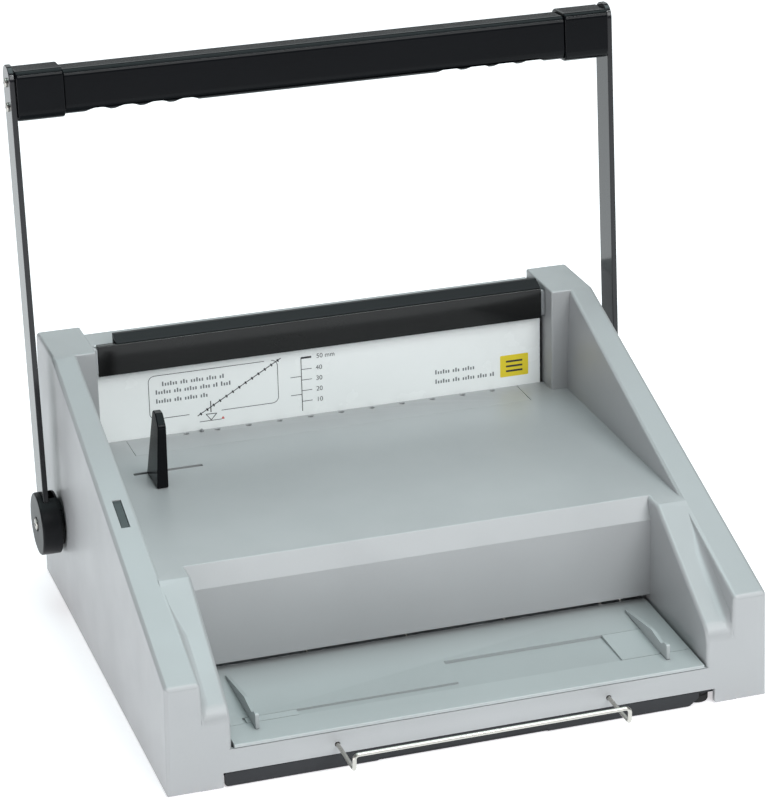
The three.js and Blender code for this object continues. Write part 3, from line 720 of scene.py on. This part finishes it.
def tray_guide(mats, side):
    """Upright fin, sliding plate and rack of one side guide; side is 1 on the right and -1 on the left."""
    name = "right" if side > 0 else "left"
    front, rear = (27.3, 67.7) if side > 0 else (27.3, 34.7)
    plate_end = 122.3 if side > 0 else 120.3
    rack_y = (53.5, 58) if side > 0 else (32, 36.5)
    fin_line = [
        (16, tray_top(16) + 0.35), (16.6, 44.5, 1.6), (21.5, 44.5, 2.2), (27, 41.2, 4),
        (46, 43.8, 12), (62, 41.6, 12), (97, 36.6, 1), (97, tray_top(97) + 0.35),
    ]
    fin = prism("fin", "x", rounded(fin_line, 5), side * 152, side * 155)
    soften(fin, 0.5, 2, 40)
    plate_line = [(front, 31.9), (front, tray_top(front) - 0.1), (rear, tray_top(rear) - 0.1), (rear, 31.9)]
    plate = prism("plate", "x", plate_line, side * plate_end, side * 158)
    foot = box("foot", sorted((side * 152.2, side * 154.8)), (front + 1, rear - 1), (32.2, 38))
    guide = joined(plate, fin, foot)
    rack = box("rack", sorted((side * -14, side * 156)), rack_y, (22, 26.5))
    guide = gathered(name + "_side_guide", [guide, rack])
    shaded(guide)
    finished(guide, "guide_" + name, mats["tray"], [name + "_tray_guide"])


def wire_bail(mats):
    """Bent wire that pulls out of the front to carry long sheets."""
    reach, low, high, half, back = BAIL["reach"], BAIL["low"], BAIL["high"], BAIL["half"], BAIL["back"]
    corners = [
        (-half, back, low), (-half, reach, low), (-half, reach, high),
        (half, reach, high), (half, reach, low), (half, back, low),
    ]
    bend, steps = BAIL["bend"], 6
    path = [Vector(corners[0])]
    for before, here, after in zip(corners, corners[1:], corners[2:]):
        here = Vector(here)
        start = here + (Vector(before) - here).normalized() * bend
        end = here + (Vector(after) - here).normalized() * bend
        centre = start + end - here
        for step in range(steps + 1):
            angle = math.pi / 2 * step / steps
            path.append(centre + (start - centre) * math.cos(angle) + (end - centre) * math.sin(angle))
    path.append(Vector(corners[-1]))
    bail = tube("wire_rest", path, BAIL["radius"])
    shaded(bail)
    finished(bail, "bail", mats["nickel"], ["wire_bail"])


def chip_drawer(mats):
    """Shallow drawer for the punched chips, with a finger notch under its face."""
    low, high, top, face = -182.4, 164.5, 11.4, 171
    outline = rounded([
        (low, SKIRT, 2.5), (-71, SKIRT), (-71, 3.2, 1.5), (55, 3.2, 1.5), (55, SKIRT), (face - 7, SKIRT, 3),
        (face, 6.5, 2), (face, top, 1), (low, top, 2),
    ])
    front = prism("front", "y", outline, 0.6, 3.2)
    soften(front, 0.5, 2, 40)
    tub = box("tub", (-178, 160), (1.6, 150), (SKIRT, top))
    flange = box("flange", (low + 0.5, high - 0.5), (5, 150), (9.8, top - 0.05))
    room = box("room", (-176, 158), (3.2, 148), (2.4, 20))
    drawer = cut(joined(tub, front, flange), room, box("grip", (-70.5, 54.5), (0, 1.8), (0, 3.2)))
    drawer.name = "chip_tub"
    shaded(drawer)
    finished(drawer, "drawer", mats["dark"], ["chip_drawer"])


# ---------------------------------------------------------------- rear: panel, prints, bar, trim, cover
PANEL = 356.8
INK = 0.06


def plaque(name, outline):
    """Thin print standing a hair proud of the panel, from an (x, z) outline."""
    return prism(name, "y", outline, PANEL - INK, PANEL + 0.1)


def stroke(name, start, end, width):
    """Printed line from start to end, points (x, z)."""
    start, end = Vector(start), Vector(end)
    along = (end - start).normalized()
    side = Vector((-along.y, along.x)) * (width / 2)
    return plaque(name, [start + side, end + side, end - side, start - side])


def text_block(name, words, centre, height):
    """Generic scale number as a thin mesh; centre is (x, z)."""
    curve = bpy.data.curves.new(name, "FONT")
    curve.body = words
    curve.size = height
    curve.align_x = "CENTER"
    curve.align_y = "CENTER"
    curve.extrude = INK
    label = put_in_scene(name, curve)
    bpy.context.view_layer.update()
    mesh = bpy.data.meshes.new_from_object(label.evaluated_get(bpy.context.evaluated_depsgraph_get()))
    bpy.data.objects.remove(label)
    bpy.data.curves.remove(curve)
    mesh.transform(Matrix.Translation((centre[0], PANEL, centre[1])) @ Matrix.Rotation(math.pi / 2, 4, "X"))
    return put_in_scene(name, mesh)


def frame_lines():
    """Rounded frame with a gap in its lower edge for the diagram and one in its upper edge for the strip."""
    left, right, low, high, r = -141.5, -37.3, 132, 168, 5
    lines = []
    ring = rounded([(left, low, r), (right, low, r), (right, high, r), (left, high, r)], 6)
    for i, point in enumerate(ring):
        following = ring[(i + 1) % len(ring)]
        if abs(point.y - low) < 0.1 and abs(following.y - low) < 0.1:
            lines.append(stroke("line", (left + r, low), (-110, low), 0.5))
            lines.append(stroke("line", (-84, low), (right - r, low), 0.5))
        elif abs(point.y - high) < 0.1 and abs(following.y - high) < 0.1:
            lines.append(stroke("line", (-48, high), (left + r, high), 0.5))
        else:
            lines.append(stroke("line", point, following, 0.5))
    return lines


def diagram_lines():
    """Slanting strip with its teeth, an arrow and the pin that the strip is set on."""
    start, end = Vector((-103.4, 129.8)), Vector((-34.4, 168.8))
    along = (end - start).normalized()
    across = Vector((-along.y, along.x))
    lines = [stroke("strip", start, end, 0.7)]
    teeth = 13
    for i in range(teeth):
        root = start + (end - start) * ((i + 0.5) / teeth)
        lines.append(stroke("tooth", root - across * 1.4, root + across * 1.1, 1.1))
    left, right, tip = (-96.5, 130.3), (-87.9, 130.1), (-92.6, 125)
    lines.append(stroke("arrow", (-92.5, 141), (-92.5, 131.6), 0.8))
    for here, there in ((left, right), (left, tip), (right, tip)):
        lines.append(stroke("stem", here, there, 0.6))
    lines.append(stroke("base", (-102, 124.6), (-84, 124.6), 0.5))
    return lines


def scale_lines():
    """Height scale: an upright line, its ticks and a plain number at each mark; the last tick is bold."""
    scale_x = -18
    marks = [129.9, 138.9, 147.9, 156.8, 166.5]
    last = len(marks) - 1
    lines = [stroke("scale", (scale_x, 121.7), (scale_x, 166.5), 0.6)]
    for i, z in enumerate(marks):
        lines.append(stroke("tick", (scale_x, z), (-9.5, z), 1.6 if i == last else 0.5))
    for z in (151.1, 135.9):
        lines.append(stroke("tick", (-27, z), (scale_x, z), 0.5))
    for i, z in enumerate(marks):
        words = str(10 * (i + 1)) + (" mm" if i == last else "")
        lines.append(text_block("number", words, (2.2 if i == last else -3.5, z), 5.4))
    return lines


def panel_prints(mats):
    """Generic marks: a frame round text bars, a strip and pin diagram, a height scale and a label."""
    prints = gathered("panel_scale_print", frame_lines() + diagram_lines() + scale_lines())
    finished(prints, "chassis", mats["ink"])
    bars = []
    rows = [
        (-130.6, -78.3, 160.5), (-136, -74, 154), (-136, -93, 146.6), (93, 128.5, 138.6), (93, 143, 130.6),
    ]
    for x0, x1, z in rows:
        bars.extend(word_bars(x0, x1, z))
    words = gathered("panel_text_bars", bars)
    finished(words, "chassis", mats["grey_ink"])
    label = plaque("panel_label", rounded([(148, 126.5, 1), (172, 126.5, 1), (172, 145, 1), (148, 145, 1)]))
    finished(label, "chassis", mats["yellow_ink"])
    sign = [box("bar", (153, 167), (PANEL - 2 * INK, PANEL), (z, z + 1.6)) for z in (130.5, 134.6, 138.7)]
    finished(gathered("panel_label_mark", sign), "chassis", mats["ink"])
    dot = plaque("panel_red_mark", [(-84.4, 124.6), (-81.6, 124.6), (-83, 127)])
    finished(dot, "chassis", mats["red_ink"])


def word_bars(x0, x1, z):
    """A line of made-up text: words of plain upright and low blocks."""
    words = [6, 3, 5, 4, 2, 6, 3]
    tops = [3.6, 2.3, 2.4, 3.4, 2.3, 2.5, 3.3]
    wide, step, space, base = 1.15, 2.15, 1.9, z - 1.6
    bars, x, count = [], x0, 0
    while x < x1 - wide:
        for _ in range(words[count % len(words)]):
            if x > x1 - wide:
                break
            top = base + tops[(count * 3 + len(bars)) % len(tops)]
            bars.append(plaque("mark", [(x, base), (x + wide, base), (x + wide, top), (x, top)]))
            x += step
        x += space
        count += 1
    return bars


def rear(mats):
    """White panel with its prints, the pressure bar, the trim rail above it and the indicator's window."""
    low, high = span("back_panel")
    panel = box("white_back_panel", (low.x, high.x), (low.y, high.y), (low.z, high.z))
    soften(panel, 0.5, 2)
    finished(panel, "chassis", mats["white"], ["back_panel"])
    panel_prints(mats)
    bar_line = rounded([
        (350.3, 175.5, 0.9), (356.3, 175.5, 0.9), (356.3, 200.5, 0.9), (350.3, 200.5, 0.9),
    ], 4)
    bar = prism("press_bar", "x", bar_line, -181, 181)
    soften(bar, 0.4, 2, 60)
    finished(bar, "bar", mats["bar"], ["pressure_bar"])
    trim_line = [
        (351, 200.9), (362, 205.2, 1.2), (365.6, 205.2, 0.8), (365.6, 190), (361.6, 190), (361.6, 200.9),
    ]
    trim = prism("top_trim_rail", "x", rounded(trim_line, 4), -166, 181)
    soften(trim, 0.35, 2, 40)
    finished(trim, "chassis", mats["slate"], ["top_trim_strip"])
    low, high = span("indicator_lens")

    def lens_top(x, y):
        return slope_top(y) - 0.4

    corners = [(low.x, low.y), (high.x, low.y), (high.x, high.y), (low.x, high.y)]
    lens = prism("indicator_window", "z", corners, lambda x, y: lens_top(x, y) - 2.4, lens_top)
    soften(lens, 0.4, 2)
    finished(lens, "chassis", mats["lens"], ["indicator_lens"])


def rear_cover(mats):
    """Rear plate and lid that close the housing, with the vents, the electrical openings and the screws."""
    narrow, foot, shoulder, top, gap = 184.5, 10, 99.6, 195, 0.4
    low_wide = tower_inner(0, foot) - gap
    high_wide = tower_inner(0, shoulder) - gap
    outline = [
        (-low_wide, foot, 2), (low_wide, foot, 2), (high_wide, shoulder), (narrow, shoulder), (narrow, top),
        (-narrow, top), (-narrow, shoulder), (-high_wide, shoulder),
    ]
    cover = prism("rear_cover_plate", "y", rounded(outline, 4), BODY_BACK - WALL, BODY_BACK)
    lid = box("lid", (-narrow, narrow), (366, BODY_BACK - 0.6), (top - WALL, top))
    joined(cover, lid)
    soften(cover, 0.8, 2, 50)
    cutters = [
        box("inlet_room", (-130.3, -101.7), (380, 400), (29.7, 52.3)),
        box("switch_room", (-91, -77), (380, 400), (30.3, 51.7)),
    ]
    vent_half, vent_r = 14, 1.3
    for row in (44, 84):
        for i in range(16):
            x = 30 + 8 * i
            slot = [(x - vent_r, row - vent_half, 1.2), (x + vent_r, row - vent_half, 1.2),
                    (x + vent_r, row + vent_half, 1.2), (x - vent_r, row + vent_half, 1.2)]
            cutters.append(prism("vent", "y", rounded(slot, 4), 390, 398))
    screw_places = [(-182, 20), (182, 20), (-176, 186), (176, 186), (0, 186), (0, 20)]
    for x, z in screw_places:
        cutters.append(rod("screw_seat", "y", 4.4, BODY_BACK - 1.6, BODY_BACK + 1, (x, z), 32))
    cut(cover, *cutters)
    shaded(cover)
    finished(cover, "chassis", mats["housing"], ["rear_cover"])
    screws = [screw_head("screw", "y", (x, z), BODY_BACK - 1.7, 1.5, 3.4) for x, z in screw_places]
    finished(gathered("rear_screws", screws), "chassis", mats["steel"])


def screw_head(name, axis, centre, base, height, radius, shank=0.0):
    """Pan head with a cross recess; height is signed, outwards from base."""
    up = 1 if height > 0 else -1
    tall = abs(height)
    profile = [(radius, base), (radius, base + up * tall * 0.45)]
    for share, narrow in ((0.75, 0.93), (0.93, 0.78), (1.0, 0.5)):
        profile.append((radius * narrow, base + up * tall * share))
    if shank:
        profile = [(radius * 0.5, base - up * shank), (radius * 0.5, base)] + profile
    head = lathe(name, axis, profile, centre, 32)
    reach, half = radius * 0.62, radius * 0.13
    u, v = centre
    low, high = sorted((base + up * tall * 0.45, base + up * (tall + 1)))
    bars = []
    for p, q in ((reach, half), (half, reach)):
        outline = [(u - p, v - q), (u + p, v - q), (u + p, v + q), (u - p, v + q)]
        bars.append(prism("bar", axis, outline, low, high))
    cut(head, *bars)
    return shaded(head)


def feet(mats):
    """Four rubber pads under the pan."""
    for corner in ("front_left", "front_right", "rear_left", "rear_right"):
        low, high = span("foot_" + corner)
        centre = ((low.x + high.x) / 2, (low.y + high.y) / 2)
        r = (high.x - low.x) / 2
        profile = [
            (r * 0.55, 0.8), (r * 0.6, 0), (r - 1.1, 0), (r - 0.3, 0.4), (r, 1.2), (r, 5.5),
            (r - 0.8, 6.2), (r - 0.8, high.z),
        ]
        pad = lathe("pad_" + corner, "z", profile, centre)
        shaded(pad)
        finished(pad, "chassis", mats["rubber"], ["foot_" + corner])


def edge_guide(mats):
    """Drafted upright fin on the deck, linked through the slot to a clamp underneath."""
    tall = 58

    def outer(y, z):
        return -162 + 3.4 * (z - DECK) / tall

    def inner(y, z):
        return -153 + 0.4 * (z - DECK) / tall

    outline = rounded([
        (254, DECK + 0.4), (254, 168, 5), (263, 175.5, 3.5), (272, 175.5, 3.5), (287, DECK + 0.4),
    ], 5)
    fin = prism("fin", "x", outline, outer, inner)
    soften(fin, 0.9, 3, 40)
    link = box("link", (-160, -155), (282, 289.6), (DECK + 0.4, 124))
    stem = box("stem", (-160, -155), (286.4, 289.6), (110, 122))
    clamp = box("clamp", (-164, -151), (280, 296), (109, 112))
    guide = joined(fin, link, stem, clamp)
    guide.name = "sheet_edge_guide"
    shaded(guide)
    finished(guide, "edge_guide", mats["satin"], ["deck_edge_guide"])


# ---------------------------------------------------------------- lever, upright with its pivot at the origin
ARM = {"in": 232.55, "out": 236.75, "half": 12.45}
SIDES = ((1, "right"), (-1, "left"))


def arms(mats):
    """Flat arm on either side of the machine."""
    half, length = ARM["half"], 359.4
    for side, name in SIDES:
        outline = rounded([(-half, -half, 7), (half, -half, 7), (half, length, 11), (-half, length, 11)], 8)
        arm = prism(name + "_lever_arm", "x", outline, side * ARM["in"], side * ARM["out"])
        soften(arm, 0.6, 3, 40)
        cut(arm, rod("bore", "x", 8.3, *sorted((side * 225, side * 245)), (0, 0)))
        shaded(arm)
        finished(arm, "handle", mats["gloss"], [name + "_arm"], HANDLE)


def knobs(mats):
    """Round pivot hubs, slotted for the arms, with a notched ring on the side towards the tower."""
    for side, name in SIDES:
        profile = [
            (8.4, 222.4), (17.9, 222.4), (18.3, 222.8), (18.3, 225.3), (23.3, 225.3), (24, 225.5),
            (24.4, 226.2), (24.4, 239.2), (24.2, 240.1), (23.6, 240.7), (22.8, 241), (6.4, 241),
            (5.8, 240.7), (5.4, 240), (5.4, 237.6), (8.4, 237.6),
        ]
        if side < 0:
            profile = [(r, -x) for r, x in profile]
        knob = turned(name + "_hub", profile, (0, 0), 96)
        reach = ARM["half"] + 0.3
        slot_x = sorted((side * (ARM["in"] - 0.3), side * (ARM["out"] + 0.3)))
        slot = box("slot", slot_x, (-reach, reach), (-reach, 30))
        pocket = box("pocket", sorted((side * 227.2, side * (ARM["in"] + 1))), (-9, 9), (15.5, 30))
        notches = []
        teeth = 40
        for i in range(teeth):
            angle = 2 * math.pi * i / teeth
            centre = (18.9 * math.cos(angle), 18.9 * math.sin(angle))
            notches.append(rod("notch", "x", 1.0, *sorted((side * 222, side * 225.2)), centre, 8))
        cut(knob, slot, pocket, gathered("notches", notches))
        shaded(knob, 50)
        finished(knob, "handle", mats["slate"], [name + "_pivot_knob"], HANDLE)


def grip_outline(half, low, high):
    """Section of the grip or of its caps, as (y, z), with a smaller rounding at the upper front."""
    return rounded([(-half, low, 8), (half, low, 8), (half, high, 8), (-half, high, 5.5)], 10)


def grip(mats):
    """Grip rail with the finger scallops near its ends, and the cap that joins it to each arm."""
    half, low, high = 14.4, 320, 354.4
    rail = prism("grip_bar", "x", grip_outline(half, low, high), -196.7, 196.7)
    radius, depth = 16, 3.2
    scallops = []
    for x in (103.6, 126.5, 149, 171.5):
        for side in (1, -1):
            scallops.append(rod("scallop", "y", radius, -20, 20, (side * x, low - radius + depth), 96))
    cut(rail, *scallops)
    soften(rail, 0.9, 3, 24)
    shaded(rail)
    finished(rail, "handle", mats["satin"], ["grip_rail"], HANDLE)
    cap_outline = grip_outline(16, 318.3, 356.5)
    for side, name in SIDES:
        cap = prism(name + "_grip_cap", "x", cap_outline, side * 197, side * 232.25)
        soften(cap, 1.2, 3, 24)
        shaded(cap)
        finished(cap, "handle", mats["satin"], [name + "_end_cap"], HANDLE)


def handle_screws(mats):
    """Two screws where each arm meets its cap, and one in each hub."""
    for side, name in SIDES:
        for z, level in ((346.4, "upper"), (328, "lower")):
            label = name + "_" + level
            screw = screw_head(label + "_screw", "x", (0, z), side * 237.05, side * 1.6, 3.6, 8)
            finished(screw, "handle", mats["nickel"], [label + "_arm_screw"], HANDLE)
        screw = screw_head(name + "_hub_screw", "x", (0, 0), side * 240.6, side * 1.8, 4.4, 4)
        finished(screw, "handle", mats["nickel"], [name + "_knob_screw"], HANDLE)


# ---------------------------------------------------------------- rear inlet and the carried-over inner parts
def electrics(mats):
    """Three flat pins inside the power inlet."""
    half, tall, edge = 1.2, 2.2, 0.6
    pins = []
    for x, z in ((-116, 44.5), (-122, 38), (-110, 38)):
        outline = [
            (x - half, z - tall, edge), (x + half, z - tall, edge), (x + half, z + tall, edge),
            (x - half, z + tall, edge),
        ]
        pins.append(prism("pin", "y", rounded(outline, 3), 376.5, 391))
    whole = gathered("inlet_pins", pins)
    shaded(whole)
    finished(whole, "chassis", mats["nickel"])


def carry(nodes, material, width=0.0):
    """CAD nodes whose shape is right, with a procedural finish and slightly broken edges."""
    for node in nodes:
        piece = frame["nodes"][node]
        piece.data.materials.clear()
        piece.data.materials.append(material)
        weld = piece.modifiers.new("weld", "WELD")
        weld.merge_threshold = 0.00001
        if width:
            bevel = piece.modifiers.new("bevel", "BEVEL")
            bevel.width = width * MM
            bevel.segments = 2
            bevel.limit_method = "ANGLE"
            bevel.angle_limit = math.radians(40)


def inner_parts(mats):
    """The mechanism that the housing hides, with the CAD's own shapes."""
    plates = ["right_frame_plate", "left_frame_plate", "drive_shelf", "knife_rail", "knife_carriage"]
    carry(plates, mats["steel"], 0.3)
    carry(["base_pan"], mats["dark"], 0.3)
    carry(["right_punch_rocker", "left_punch_rocker", "rocker_shaft", "punch_ram"], mats["steel"], 0.2)
    carry(["die_block", "punch_guide_block"], mats["steel"], 0.3)
    carry(["cross_shaft", "right_punch_cam", "left_punch_cam"], mats["steel"], 0.3)
    bar_drive = ["right_bar_bracket", "left_bar_bracket", "right_lead_screw", "left_lead_screw"]
    carry(bar_drive, mats["steel"], 0.2)
    carry(["right_shaft_bearing", "left_shaft_bearing", "guide_pinion"], mats["brass"], 0.2)
    carry(["timing_belt"], mats["rubber"], 0.2)
    carry(["bar_motor"], mats["dark"], 0.5)
    carry(["power_inlet", "power_rocker"], mats["satin"], 0.4)


def throat_studs(mats):
    """Bright stud heads along the die's front edge, seen in the punch throat."""
    profile = [(1.3, 34.9), (1.3, 36.0), (1.1, 36.4), (0.6, 36.6)]
    studs = [lathe("stud", "z", profile, (x, 116), 20) for x in (-88.9, -12.7, 63.5, 139.7, 156)]
    whole = gathered("die_studs", studs)
    shaded(whole)
    finished(whole, "chassis", mats["nickel"])


add_camera()
add_world()
add_floor()
add_lights()
materials = make_materials()
housing(materials)
binding_bed(materials)
punch_tray(materials)
tray_guide(materials, 1)
tray_guide(materials, -1)
wire_bail(materials)
chip_drawer(materials)
rear(materials)
rear_cover(materials)
feet(materials)
edge_guide(materials)
arms(materials)
knobs(materials)
grip(materials)
handle_screws(materials)
electrics(materials)
inner_parts(materials)
throat_studs(materials)
